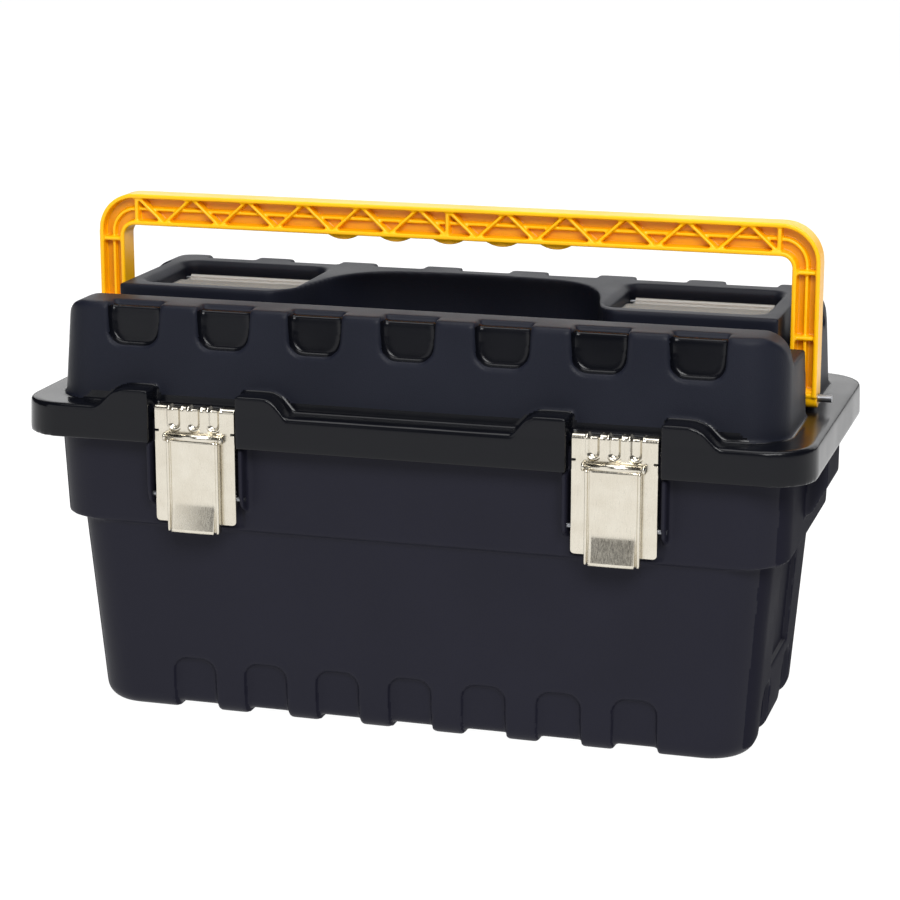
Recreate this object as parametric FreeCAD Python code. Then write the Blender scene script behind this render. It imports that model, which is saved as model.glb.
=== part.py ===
import FreeCAD, Part
import math
import os

# Moulded toolbox with a hinged domed lid, carry handle, two steel latches, two lid organisers and a
# lift-out tray. Millimetres. X runs along the box, Y from front to back, Z up; the origin is the centre
# of the footprint on the floor.

# ---- driving sizes: case ----
CASE_HALF_X = 174.0        # half length of the case at the floor
CASE_HALF_Y = 73.0         # half depth of the case at the floor
CASE_FLARE_X = 8.0         # how far each end leans out by the top of the lower body
CASE_FLARE_Y = 5.0         # how far each long side leans out by the top of the lower body
CORNER_R = 24.0            # plan radius of the case's vertical corners
FOOT_R = 9.0               # rounding of the case's bottom edge
WALL = 2.5                 # moulded wall of case and lid
STEP_Z = 103.0             # height where the collar begins
COLLAR_H = 57.0            # height of the collar, which ends in the rim
COLLAR_OUT_X = 8.0         # how far the collar stands out from the ends
COLLAR_OUT_Y = 3.0         # how far the collar stands out from the long sides
COLLAR_FLARE = 2.0         # flare of the collar over its height
LUG_HALF_Y = 20.0          # lifting lug: half width
LUG_TIP_H = 17.0           # height of its outer face
LUG_BEND_H = 31.0          # where its underside turns in
LUG_H = 34.0               # height at its root
LUG_BEND_OUT = 4.0         # how far the turn stands out from the collar

# ---- driving sizes: arches along the foot ----
ARCH_PITCH = 39.0
ARCH_W = 23.0
ARCH_TOP = 29.6
ARCH_DEPTH = 3.0
ARCH_COUNT = 7
ARCH_R = 7.7
END_ARCH_PITCH = 60.0
END_PANEL_HALF = 24.0
END_PANEL_Z = (37.0, 95.0)

# ---- driving sizes: lid ----
SKIRT_LAP = 11.5           # how far the skirt hangs below the rim
SKIRT_DRAFT = 0.5
LEDGE_RISE = 6.0           # ledge round the dome above the rim
LEDGE_R = 1.8
LEDGE_OUT_X = 12.5         # ledge beyond the case rim at the ends
LEDGE_OUT_Y = 10.0         # ledge beyond the case rim at front and back
DOME_H = 50.0              # ridges above the ledge
DOME_IN = 3.0              # dome base inside the case rim
DOME_LEAN_X = 2.0          # how far the dome's ends lean in
DOME_LEAN_Y = 5.0          # how far the dome's long sides lean in
DOME_END_R = 14.0          # rounding of the ridges at the ends
TOP_EDGE_R = 3.5
RIDGE_W = 30.0             # width of each long ridge
CHANNEL_DROP = 16.0        # front channel and end steps below the ridges
BLOCK_FRONT = -23.0        # front face of the raised centre block
BLOCK_END = 14.0           # end of the centre block inside the dome's end
NOTCH_HALF_Y = 14.0        # half width of the notch for the handle's leg
POCKET_PITCH = 48.5
POCKET_W = 26.0
POCKET_FLARE = 2.0         # how much wider each side of a pocket is at the top
POCKET_H = 21.3
POCKET_DEPTH = 5.5
POCKET_R = 8.0
POCKET_COUNT = 7
POCKET_TOP = 2.4           # pockets below the top of the ridge
BORDER_W = 1.6             # step around each pocket
BORDER_DEPTH = 0.9
RECESS_DROP = 28.0         # finger recess below the ridges
RECESS_FLOOR_R = 5.0
RECESS_FRONT_X = 97.0      # where its flared mouth meets the block's front
RECESS_WAIST_X = 78.0      # half width at the waist
RECESS_WAIST_Y = 6.0
RECESS_REAR_X = 41.0       # where its rear corners end
RECESS_REAR_IN = 25.5      # rear wall in front of the dome's back
BOSS_RISE = 9.5            # raised bosses beside the latches, above the ledge
BOSS_MID_LEN = 12.9        # flat length of the inner boss
BOSS_OUT_LEN = 9.9         # flat length of the outer boss
BOSS_MID_RUN = 14.0        # length of the inner boss's curved shoulder
BOSS_OUT_RUN = 18.0        # length of the outer boss's curved shoulder
BOSS_T = 13.0              # depth of the bosses, front to back

# ---- driving sizes: latches ----
LATCH_SHARE = 0.623        # latch centre as a share of the case's half length
LATCH_W = 43.0
LATCH_GAP = 2.0            # gap beside the latch in the lid's front band
PLATE_T = 1.0              # sheet thickness
HASP_H = 60.1
HOOK_RISE = 1.4            # top of the hook above the ledge
HASP_OUT = 5.0             # front face of the hasp before the rim
HASP_AXLE_BELOW = 39.0     # axle below the rim
AXLE_R = 1.25
AXLE_IN = 2.0              # axle behind the hasp's front face
RIB_T = 2.5                # ribs that carry the axle
RIB_OUT = 4.5
TONGUE_W = 28.0
TONGUE_H = 48.5
TONGUE_LIP = 1.4
BARREL_BELOW = 8.0         # barrel below the rim
BARREL_R = 1.9
BARREL_PIN_R = 1.0
EAR_T = 1.4
BEAD_PITCH = 10.5          # three stiffening grooves in the hasp
BEAD_W = 6.5
BEAD_DEPTH = 0.4
POCKET_BEHIND = 2.0        # depth of the case pocket behind each latch

# ---- driving sizes: handle ----
GRIP_RISE = 28.5           # underside of the grip above the ridges
GRIP_H = 16.5
HANDLE_T = 14.0            # depth of the handle, front to back
HANDLE_SKIN = 2.2          # flanges of the ribbed section
HANDLE_WEB = 2.0           # centre web
HANDLE_OUT_R = 20.0
HANDLE_IN_R = 6.0
LEG_W = 14.0
LEG_OUT = 3.5              # outside of the leg beyond the dome's base
GRIP_POST_IN = 7.0
DIAGONALS = 22
RIB_IN = 1.0               # diagonals stand this far inside the flanges' edges
MID_RIB_T = 1.6
SWELL_PITCH = 28.5         # finger swells under the grip
SWELL_COUNT = 5
SWELL_R = 16.0
SWELL_H = 2.8
SWELL_T = 7.0
PEG_RISE = 6.5             # pegs above the ledge
PEG_R = 2.0
EYE_WALL = 3.0
EYE_L = 6.5

# ---- driving sizes: lid hinge ----
HINGE_SHARE = 0.632        # hinge centre as a share of the case's half length
HINGE_OUT = 6.0            # hinge axis behind the rim
HINGE_BELOW = 5.5          # hinge axis below the skirt
KNUCKLE_R = 4.0
HINGE_PIN_R = 2.0
KNUCKLE_L = 14.0

# ---- driving sizes: lid organisers ----
WINDOW_IN_X = 85.0         # inner end of each window
WINDOW_END = 10.0          # outer end inside the block's end
WINDOW_FRONT = -11.0
WINDOW_REAR_IN = 29.0      # rear of the window in front of the dome's back
WINDOW_R = 7.0
WINDOW_FLARE = 3.0         # sloped edge round the opening
WELL_DROP = 32.0           # bottom of the well below the ridges
WELL_IN = 2.0              # shelf between window and well
COVER_DROP = 10.0          # underside of the cover below the ridges
COVER_T = 2.0
COVER_NECK = 3.0           # how much narrower the cover is beside its barrel
COVER_NECK_L = 9.0
COVER_AXIS_IN = 4.5        # cover's axis in front of the window's rear
COVER_BARREL_R = 2.2
COVER_PIN_R = 1.0
TROUGH_IN = 2.7            # trough that the barrel turns in, ahead of the axis
TROUGH_DEEP = 2.5
BIN_WALL = 1.2
BIN_DROP = 0.8             # rim of the insert below the cover

# ---- driving sizes: tray ----
TRAY_GAP = 1.5             # gap between tray and case wall
TRAY_H = 42.0
TRAY_WALL = 2.0
TRAY_DRAFT = 1.0
TRAY_POST_X = 62.0         # posts that carry the tray's handle
TRAY_POST_T = 4.0
TRAY_POST_R = 7.0
TRAY_PIVOT_H = 34.0        # pivot above the tray's floor
TRAY_PIN_R = 1.5
RIDGE_H = 22.0             # low rib between the two posts
BAIL_REACH = 34.0          # pivot to the middle of the bail's bar
BAIL_T = 6.0
DIVIDER_X = 118.0
DIVIDER_T = 1.6
GUIDE_L = 3.0

# ---- clearances ----
RUN = 0.05                 # radial clearance of a pin in its bore
CLEAR = 0.3                # gap between pieces that move past each other
SEAT = 0.2                 # gap under pieces that rest on each other
OVER = 20.0                # how far a cutting blank runs past what it cuts

os.makedirs("parts", exist_ok=True)

V = FreeCAD.Vector


def box(x0, x1, y0, y1, z0, z1):
    return Part.makeBox(x1 - x0, y1 - y0, z1 - z0, V(x0, y0, z0))


def ring(hx, hy, r, z):
    """Rounded rectangle wire centred on the Z axis."""
    k = math.sqrt(0.5)
    edges = []
    corners = [(1, 1, 0), (-1, 1, 90), (-1, -1, 180), (1, -1, 270)]
    ends = []
    for sx, sy, a in corners:
        cx = sx * (hx - r)
        cy = sy * (hy - r)
        t0 = math.radians(a)
        p0 = V(cx + r * math.cos(t0), cy + r * math.sin(t0), z)
        t1 = t0 + math.pi / 2
        p1 = V(cx + r * math.cos(t1), cy + r * math.sin(t1), z)
        mid = V(cx + sx * r * k, cy + sy * r * k, z)
        ends.append((p0, mid, p1))
    for i, (p0, mid, p1) in enumerate(ends):
        edges.append(Part.Arc(p0, mid, p1).toShape())
        edges.append(Part.makeLine(p1, ends[(i + 1) % 4][0]))
    return Part.Wire(edges)


def taper(lower, upper):
    """Solid between two rounded rectangles, each (half x, half y, radius, z)."""
    return Part.makeLoft([ring(*lower), ring(*upper)], True, True)


def prism(points, direction):
    """Extrudes a closed polygon of 3-D points."""
    pts = [V(*p) for p in points]
    face = Part.Face(Part.makePolygon(pts + [pts[0]]))
    return face.extrude(V(*direction))


def cyl_x(r, x0, x1, y, z):
    return Part.makeCylinder(r, x1 - x0, V(x0, y, z), V(1, 0, 0))


def mirror_x(shape):
    return shape.mirror(V(0, 0, 0), V(1, 0, 0))


def mirror_y(shape):
    return shape.mirror(V(0, 0, 0), V(0, 1, 0))


def fuse(shapes):
    out = shapes[0]
    if len(shapes) > 1:
        out = shapes[0].multiFuse(shapes[1:])
    return out.removeSplitter()


def vertical_edges(shape):
    return [e for e in shape.Edges if abs(e.tangentAt(e.FirstParameter).z) > 0.9 and e.Length > 1]


def export(shape, name):
    solids = shape.Solids
    out = solids[0] if len(solids) == 1 else Part.makeCompound(solids)
    out.exportStep("parts/" + name + ".step")
    print(name, len(solids), round(shape.Volume / 1000.0, 2), "cm3", shape.isValid())


# ---- derived stations ----
RIM_Z = STEP_Z + COLLAR_H
SKIRT_Z = RIM_Z - SKIRT_LAP
LEDGE_Z = RIM_Z + LEDGE_RISE
TOP_Z = LEDGE_Z + DOME_H
LOWER_TOP_X = CASE_HALF_X + CASE_FLARE_X
LOWER_TOP_Y = CASE_HALF_Y + CASE_FLARE_Y
COLLAR_X = LOWER_TOP_X + COLLAR_OUT_X
COLLAR_Y = LOWER_TOP_Y + COLLAR_OUT_Y
RIM_X = COLLAR_X + COLLAR_FLARE
RIM_Y = COLLAR_Y + COLLAR_FLARE
SKIRT_X = RIM_X + LEDGE_OUT_X
SKIRT_Y = RIM_Y + LEDGE_OUT_Y
DOME_X = RIM_X - DOME_IN
DOME_Y = RIM_Y - DOME_IN
DOME_TOP_X = DOME_X - DOME_LEAN_X
DOME_TOP_Y = DOME_Y - DOME_LEAN_Y
RIDGE_IN = DOME_Y - RIDGE_W
CHANNEL_Z = TOP_Z - CHANNEL_DROP
RECESS_Z = TOP_Z - RECESS_DROP
POCKET_Z = TOP_Z - POCKET_H
BOSS_Z = LEDGE_Z + BOSS_RISE
BLOCK_HALF_X = DOME_X - BLOCK_END
LATCH_X = CASE_HALF_X * LATCH_SHARE
LATCH_BAY = LATCH_W / 2.0 + LATCH_GAP
HASP_TOP = LEDGE_Z + HOOK_RISE
HASP_Y = -RIM_Y - HASP_OUT
AXLE_Z = RIM_Z - HASP_AXLE_BELOW
AXLE_Y = HASP_Y + AXLE_IN
BARREL_Z = RIM_Z - BARREL_BELOW
BARREL_Y = HASP_Y - CLEAR - BARREL_R
TONGUE_TIP_Z = BARREL_Z - TONGUE_H
LEG_OUT_X = DOME_X + LEG_OUT
LEG_IN_X = LEG_OUT_X - LEG_W
GRIP_LOW = TOP_Z + GRIP_RISE
GRIP_TOP = GRIP_LOW + GRIP_H
PEG_Z = LEDGE_Z + PEG_RISE
HINGE_X = CASE_HALF_X * HINGE_SHARE
HINGE_Y = RIM_Y + HINGE_OUT
HINGE_Z = SKIRT_Z - HINGE_BELOW
WINDOW_X = (WINDOW_IN_X, BLOCK_HALF_X - WINDOW_END)
WINDOW_Y = (WINDOW_FRONT, DOME_Y - WINDOW_REAR_IN)
WELL_Z = TOP_Z - WELL_DROP
WELL_X = (WINDOW_X[0] + WELL_IN, WINDOW_X[1] - WELL_IN)
COVER_Z = TOP_Z - COVER_DROP
COVER_AXIS_Y = WINDOW_Y[1] - COVER_AXIS_IN
COVER_PIN_Z = COVER_Z + COVER_T / 2.0 + SEAT * 2.0
WELL_Y = (WINDOW_Y[0] + WELL_IN, COVER_AXIS_Y - TROUGH_IN - 0.5)
TRAY_X = COLLAR_X - WALL - TRAY_GAP
TRAY_Y = COLLAR_Y - WALL - POCKET_BEHIND - TRAY_GAP
TRAY_Z = STEP_Z + WALL + SEAT
TRAY_R = CORNER_R - WALL - TRAY_GAP
PIVOT_Z = TRAY_Z + TRAY_PIVOT_H

# ================================ case ================================


def case_lower(inset):
    """Drafted lower body, moved in by inset on every face."""
    top = STEP_Z + inset
    grow = top / STEP_Z
    r = max(CORNER_R - inset, 2.0)
    bottom = (CASE_HALF_X - inset, CASE_HALF_Y - inset, r, inset)
    upper = (CASE_HALF_X + CASE_FLARE_X * grow - inset, CASE_HALF_Y + CASE_FLARE_Y * grow - inset, r, top)
    solid = taper(bottom, upper)
    floor_edges = [e for e in solid.Edges if e.BoundBox.ZMax < inset + 0.01]
    return solid.makeFillet(max(FOOT_R - inset, 2.0), floor_edges)


def collar(inset, bottom, top):
    r = max(CORNER_R + 1.0 - inset, 2.0)
    return taper((COLLAR_X - inset, COLLAR_Y - inset, r, bottom), (RIM_X - inset, RIM_Y - inset, r, top))


def arch_row(grow):
    """Blanks of the arches along both long sides and both ends, and of the end panels."""
    r = ARCH_R + grow
    half = ARCH_W / 2.0 + grow
    top = ARCH_TOP + grow
    blanks = []
    for i in range(ARCH_COUNT):
        x = (i - (ARCH_COUNT - 1) / 2.0) * ARCH_PITCH
        blank = box(x - half, x + half, -LOWER_TOP_Y - OVER, -CASE_HALF_Y + OVER + grow, -OVER, top)
        crown = [e for e in blank.Edges if e.BoundBox.ZMin > top - 0.01 and e.BoundBox.YLength > 5]
        blank = blank.makeFillet(r, crown)
        blanks.append(blank)
        blanks.append(mirror_y(blank))
    for side in (-1, 1):
        y = side * END_ARCH_PITCH / 2.0
        blank = box(CASE_HALF_X - OVER - grow, LOWER_TOP_X + OVER, y - half, y + half, -OVER, top)
        crown = [e for e in blank.Edges if e.BoundBox.ZMin > top - 0.01 and e.BoundBox.XLength > 5]
        blank = blank.makeFillet(r, crown)
        blanks.append(blank)
        blanks.append(mirror_x(blank))
    panel_half = END_PANEL_HALF + grow
    low, high = END_PANEL_Z
    panel = box(CASE_HALF_X - OVER, LOWER_TOP_X + OVER, -panel_half, panel_half, low - grow, high + grow)
    blanks.append(panel)
    blanks.append(mirror_x(panel))
    return Part.makeCompound(blanks)


def latch_pockets(grow):
    """Shallow pockets in the collar that let the bottom of each latch swing in."""
    half = LATCH_BAY - SEAT + grow
    y = -COLLAR_Y
    blank = box(LATCH_X - half, LATCH_X + half, y - OVER, y + OVER, STEP_Z + 1.2, SKIRT_Z - 0.5 + grow)
    blank = blank.cut(collar(POCKET_BEHIND + grow, STEP_Z - OVER, RIM_Z + OVER))
    return Part.makeCompound([blank, mirror_x(blank)])


def latch_ribs():
    """Upright ribs on the collar that carry the latch axles."""
    ribs = []
    face = -COLLAR_Y + WALL / 2.0
    out = AXLE_Y - RIB_OUT
    for side in (-1, 1):
        inner = LATCH_X + side * LATCH_BAY
        x0 = min(inner, inner + side * RIB_T)
        outline = [
            (x0, face, SKIRT_Z - CLEAR),
            (x0, out, SKIRT_Z - CLEAR),
            (x0, out, AXLE_Z + AXLE_R * 2.4),
            (x0, AXLE_Y - AXLE_R * 2.0, AXLE_Z - AXLE_R * 2.8),
            (x0, face, AXLE_Z - AXLE_R * 7.2),
        ]
        ribs.append(prism(outline, (RIB_T, 0, 0)))
    right = Part.makeCompound(ribs)
    return ribs + [mirror_x(r) for r in right.Solids]


def end_lug():
    """Lifting lug below the ledge at the middle of each end."""
    root = COLLAR_X - WALL / 2.0
    reach = SKIRT_X - WALL - SKIRT_DRAFT
    y = -LUG_HALF_Y
    outline = [
        (root, y, SKIRT_Z - CLEAR),
        (reach, y, SKIRT_Z - CLEAR),
        (reach, y, SKIRT_Z - LUG_TIP_H),
        (COLLAR_X + LUG_BEND_OUT, y, SKIRT_Z - LUG_BEND_H),
        (root, y, SKIRT_Z - LUG_H),
    ]
    return prism(outline, (0, 2 * LUG_HALF_Y, 0))


def hinge_span(offset):
    """Start and end of one knuckle: offset -1, 0 or 1 along the hinge."""
    mid = HINGE_X + offset * KNUCKLE_L
    return mid - KNUCKLE_L / 2.0, mid + KNUCKLE_L / 2.0


def case_knuckles():
    out = []
    for offset in (-1, 1):
        x0, x1 = hinge_span(offset)
        root = box(x0, x1, COLLAR_Y - WALL / 2.0, HINGE_Y, HINGE_Z - KNUCKLE_R, HINGE_Z + KNUCKLE_R / 2.0)
        out.append(root.fuse(cyl_x(KNUCKLE_R, x0, x1, HINGE_Y, HINGE_Z)))
    return out + [mirror_x(k) for k in out]


def hinge_bores():
    half = 1.5 * KNUCKLE_L + 1.0
    bore = cyl_x(HINGE_PIN_R + RUN, HINGE_X - half, HINGE_X + half, HINGE_Y, HINGE_Z)
    return [bore, mirror_x(bore)]


def axle_ends():
    reach = LATCH_BAY + RIB_T
    return LATCH_X - reach, LATCH_X + reach


def make_case():
    outer = fuse([case_lower(0.0), collar(0.0, STEP_Z, RIM_Z)])
    outer = outer.cut(arch_row(0.0).cut(case_lower(ARCH_DEPTH)))
    outer = outer.cut(latch_pockets(0.0))
    low = case_lower(WALL).cut(arch_row(WALL).cut(case_lower(ARCH_DEPTH + WALL)))
    high = collar(WALL, STEP_Z + WALL, RIM_Z + 1.0).cut(latch_pockets(WALL))
    shell = outer.cut(low).cut(high)
    lug = end_lug()
    shell = fuse([shell, lug, mirror_x(lug)] + latch_ribs() + case_knuckles())
    x0, x1 = axle_ends()
    bore = cyl_x(AXLE_R + RUN, x0 - 1, x1 + 1, AXLE_Y, AXLE_Z)
    return shell.cut(Part.makeCompound([bore, mirror_x(bore)] + hinge_bores()))


# ================================ lid ================================


def dome(inset, top_inset, bottom):
    """Drafted dome, moved in by inset on its sides and by top_inset on top."""
    top = TOP_Z - top_inset
    share = (bottom - LEDGE_Z) / (TOP_Z - LEDGE_Z)
    r = max(CORNER_R - 2.0 - inset, 2.0)
    low = (DOME_X - DOME_LEAN_X * share - inset, DOME_Y - DOME_LEAN_Y * share - inset, r, bottom)
    high = (DOME_TOP_X - inset, DOME_TOP_Y - inset, r, top)
    solid = taper(low, high)
    rim = [e for e in solid.Edges if e.BoundBox.ZMin > top - 0.01]
    return solid.makeFillet(max(TOP_EDGE_R - inset / 2.0, 1.0), rim)


def end_rounding(grow):
    """What the rounded upper ends of the dome leave out."""
    r = DOME_END_R
    x0 = DOME_TOP_X - grow - r
    z0 = TOP_Z - grow - r
    blank = box(x0, DOME_X + OVER, -DOME_Y - OVER, DOME_Y + OVER, z0, TOP_Z + OVER)
    drum = Part.makeCylinder(r, 2 * (DOME_Y + 2 * OVER), V(x0, -DOME_Y - 2 * OVER, z0), V(0, 1, 0))
    blank = blank.cut(drum)
    return [blank, mirror_x(blank)]


def pocket_row(half, low, r, depth, top):
    """One row of pockets along each long side: half width, bottom, corner radius and depth."""
    out = []
    high = TOP_Z + OVER
    y = -DOME_Y - OVER
    for i in range(POCKET_COUNT):
        x = (i - (POCKET_COUNT - 1) / 2.0) * POCKET_PITCH
        wide = half + POCKET_FLARE
        outline = [(x - half, y, low), (x + half, y, low), (x + wide, y, high), (x - wide, y, high)]
        blank = prism(outline, (0, RIDGE_W + depth, 0))
        lower = [e for e in blank.Edges if e.BoundBox.ZMax < low + 0.01 and e.BoundBox.YLength > 5]
        blank = blank.makeFillet(r, lower)
        out.append(blank)
        out.append(mirror_y(blank))
    return Part.makeCompound(out).cut(dome(depth, top, LEDGE_Z))


def edge_pockets(grow):
    """Seven pockets along the upper edge of each long side, each with a shallow stepped border."""
    half = POCKET_W / 2.0 + grow
    low = POCKET_Z - grow
    deep = pocket_row(half, low, POCKET_R, POCKET_DEPTH + grow, POCKET_TOP + grow)
    border = pocket_row(half + BORDER_W, low - BORDER_W, POCKET_R + BORDER_W, BORDER_DEPTH + grow, grow)
    return [deep, border]


def recess_blank(grow, mouth, turn, low, high):
    """Plan of the finger recess raised from low to high. turn is the pole that shapes its mouth."""
    front = BLOCK_FRONT - 1.0 - grow
    waist = RECESS_WAIST_X + grow
    rear_x = RECESS_REAR_X
    rear = DOME_Y - RECESS_REAR_IN + grow
    swing = waist - RECESS_REAR_X
    waist_at = (waist, RECESS_WAIST_Y)
    corner = (rear_x, rear - 3.0)
    side = [
        [(mouth, front), (waist + turn[0], front + turn[1]), (waist + 3.0, front + 16.0), waist_at],
        [waist_at, (waist - 3.5, RECESS_WAIST_Y + 18.0), (rear_x + swing * 0.73, rear - 7.0), corner],
        [corner, (rear_x * 0.34, rear + 1.2), (-rear_x * 0.34, rear + 1.2), (-rear_x, rear - 3.0)],
    ]
    mirrored = [[(-x, y) for x, y in reversed(span)] for span in (side[1], side[0])]
    edges = []
    for span in side + mirrored:
        curve = Part.BezierCurve()
        curve.setPoles([V(x, y, low) for x, y in span])
        edges.append(curve.toShape())
    edges.append(Part.makeLine(V(-mouth, front, low), V(mouth, front, low)))
    return Part.Face(Part.Wire(edges)).extrude(V(0, 0, high - low))


def finger_recess(grow):
    """Hollow under the grip with a rounded floor, and the flare of its mouth above the channel."""
    low = RECESS_Z - grow
    top = TOP_Z + OVER
    hollow = recess_blank(grow, RECESS_WAIST_X + grow + 5.0, (4.5, 8.0), low, top)
    front = BLOCK_FRONT - grow
    floor_edges = [e for e in hollow.Edges if e.BoundBox.ZMax < low + 0.01 and e.BoundBox.YMax > front]
    hollow = hollow.makeFillet(RECESS_FLOOR_R, floor_edges)
    flare = recess_blank(grow, RECESS_FRONT_X + grow, (6.0, 1.0), CHANNEL_Z - grow, top)
    return [hollow.fuse(flare)]


def window_wells(grow):
    x0, x1 = WINDOW_X
    y0, y1 = WINDOW_Y
    mid = V((x0 + x1) / 2.0, (y0 + y1) / 2.0, 0)
    hx = (x1 - x0) / 2.0 + grow
    hy = (y1 - y0) / 2.0 + grow
    r = WINDOW_R + grow
    low = COVER_Z - SEAT - grow
    sill = taper((hx, hy, r, low), (hx, hy, r, TOP_Z + OVER))
    flare = WINDOW_FLARE + 1.0
    flare_top = (hx + flare, hy + flare, r + flare, TOP_Z + 1.0 - grow)
    edge = taper((hx, hy, r, TOP_Z - WINDOW_FLARE - grow), flare_top)
    sill.translate(mid)
    edge.translate(mid)
    trough_y = COVER_AXIS_Y - TROUGH_IN - grow
    half = hx - COVER_NECK
    trough = box(mid.x - half, mid.x + half, trough_y, y1 + grow, low + SEAT - TROUGH_DEEP, COVER_Z)
    wx0, wx1 = WELL_X
    wy0, wy1 = WELL_Y
    well = box(wx0 - grow, wx1 + grow, wy0 - grow, wy1 + grow, WELL_Z - grow, TOP_Z)
    well = well.makeFillet(WELL_IN + 1.0, vertical_edges(well))
    out = [sill, edge, trough, well]
    return out + [mirror_x(s) for s in out]


def leg_notches(grow):
    """Notches that the handle's legs stand in, and the low steps beside them."""
    x0 = BLOCK_HALF_X - grow
    x1 = SKIRT_X + OVER
    notch_y = NOTCH_HALF_Y + grow
    step_y = RIDGE_IN + grow
    out = [
        box(x0, x1, -notch_y, notch_y, LEDGE_Z - grow, TOP_Z + OVER),
        box(x0, x1, -step_y, step_y, CHANNEL_Z - grow, TOP_Z + OVER),
    ]
    return out + [mirror_x(s) for s in out]


def front_channel(grow):
    return [box(-SKIRT_X, SKIRT_X, -RIDGE_IN - grow, BLOCK_FRONT + grow, CHANNEL_Z - grow, TOP_Z + OVER)]


def dome_recesses(grow):
    shapes = edge_pockets(grow) + finger_recess(grow) + window_wells(grow)
    shapes += leg_notches(grow) + front_channel(grow) + end_rounding(grow)
    return Part.makeCompound(shapes)


def boss(flat_from, flat_to, run):
    """Raised boss on the front band; run is the signed length of its curved shoulder."""
    y = -SKIRT_Y + 0.5
    low = LEDGE_Z - 1.0
    top = BOSS_Z
    drop = top - LEDGE_Z
    shoulder = Part.BezierCurve()
    poles = [(0.0, 0.0), (0.7, 0.0), (0.75, 0.8), (1.0, 1.0)]
    shoulder.setPoles([V(flat_to + run * a, y, top - drop * b) for a, b in poles])
    start = V(flat_from, y, top)
    end = V(flat_to + run, y, LEDGE_Z)
    edges = [
        Part.makeLine(V(flat_from, y, low), start),
        Part.makeLine(start, V(flat_to, y, top)),
        shoulder.toShape(),
        Part.makeLine(end, V(flat_to + run, y, low)),
        Part.makeLine(V(flat_to + run, y, low), V(flat_from, y, low)),
    ]
    return Part.Face(Part.Wire(edges)).extrude(V(0, BOSS_T, 0))


def front_bosses():
    outer_from = LATCH_X + LATCH_BAY
    inner_from = LATCH_X - LATCH_BAY
    outer = boss(outer_from, outer_from + BOSS_OUT_LEN, BOSS_OUT_RUN)
    inner = boss(inner_from, inner_from - BOSS_MID_LEN, -BOSS_MID_RUN)
    return [outer, inner, mirror_x(outer), mirror_x(inner)]


def latch_gap_cuts():
    back = HASP_Y + PLATE_T + 0.8
    cut = box(LATCH_X - LATCH_BAY, LATCH_X + LATCH_BAY, -SKIRT_Y - OVER, back, SKIRT_Z - OVER, BOSS_Z + OVER)
    return [cut, mirror_x(cut)]


def latch_gap_walls():
    """Close the hollow skirt on both sides of each latch."""
    out = []
    for side in (-1, 1):
        inner = LATCH_X + side * LATCH_BAY
        outer = inner + side * WALL
        x0 = min(inner, outer)
        out.append(box(x0, x0 + WALL, -SKIRT_Y + 1.0, -RIM_Y - 1.0, SKIRT_Z, LEDGE_Z - 1.0))
    return out + [mirror_x(w) for w in out]


def lid_knuckles():
    x0, x1 = hinge_span(0)
    x0 += CLEAR
    x1 -= CLEAR
    arm = box(x0, x1, HINGE_Y, HINGE_Y + KNUCKLE_R, HINGE_Z, SKIRT_Z + WALL + 0.5)
    knuckle = arm.fuse(cyl_x(KNUCKLE_R, x0, x1, HINGE_Y, HINGE_Z))
    return [knuckle, mirror_x(knuckle)]


def skirt(inset, bottom, top):
    r = max(CORNER_R - inset, 2.0)
    low = (SKIRT_X - inset, SKIRT_Y - inset, r, bottom)
    high = (SKIRT_X - inset - SKIRT_DRAFT, SKIRT_Y - inset - SKIRT_DRAFT, r, top)
    return taper(low, high)


def make_lid():
    flange = skirt(0.0, SKIRT_Z, LEDGE_Z)
    rim = [e for e in flange.Edges if e.BoundBox.ZMin > LEDGE_Z - 0.01]
    flange = flange.makeFillet(LEDGE_R, rim)
    outer = fuse([flange, dome(0.0, 0.0, LEDGE_Z - 1.0)])
    outer = outer.cut(dome_recesses(0.0))
    hollow = dome(WALL, WALL, SKIRT_Z).cut(dome_recesses(WALL))
    shell = outer.cut(skirt(WALL, SKIRT_Z - 1.0, LEDGE_Z - WALL)).cut(hollow)
    rim_ring = (RIM_X, RIM_Y, CORNER_R)
    seat = taper(rim_ring + (RIM_Z + CLEAR,), rim_ring + (LEDGE_Z - WALL + 0.2,))
    inner = (RIM_X - WALL, RIM_Y - WALL, CORNER_R - WALL)
    seat = seat.cut(taper(inner + (RIM_Z,), inner + (LEDGE_Z,)))
    shell = fuse([shell, seat] + front_bosses() + latch_gap_walls() + lid_knuckles())
    shell = shell.cut(Part.makeCompound(latch_gap_cuts() + hinge_bores()))
    peg_bore = cyl_x(PEG_R + RUN, BLOCK_HALF_X - WALL - 1, BLOCK_HALF_X + 1, 0, PEG_Z)
    cover_bore = cyl_x(COVER_PIN_R + RUN, WINDOW_X[0] - 2, WINDOW_X[1] + 2, COVER_AXIS_Y, COVER_PIN_Z)
    bores = [peg_bore, cover_bore]
    return shell.cut(Part.makeCompound(bores + [mirror_x(b) for b in bores]))


# ================================ carry handle ================================


def handle_outline(half_x, top, r, bottom):
    """Face of an upside-down U's outside: straight sides, rounded upper corners."""
    k = r * (1.0 - math.sqrt(0.5))
    edges = [
        Part.makeLine(V(-half_x, 0, bottom), V(-half_x, 0, top - r)),
        Part.Arc(V(-half_x, 0, top - r), V(-half_x + k, 0, top - k), V(-half_x + r, 0, top)).toShape(),
        Part.makeLine(V(-half_x + r, 0, top), V(half_x - r, 0, top)),
        Part.Arc(V(half_x - r, 0, top), V(half_x - k, 0, top - k), V(half_x, 0, top - r)).toShape(),
        Part.makeLine(V(half_x, 0, top - r), V(half_x, 0, bottom)),
        Part.makeLine(V(half_x, 0, bottom), V(-half_x, 0, bottom)),
    ]
    return Part.Face(Part.Wire(edges))


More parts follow.
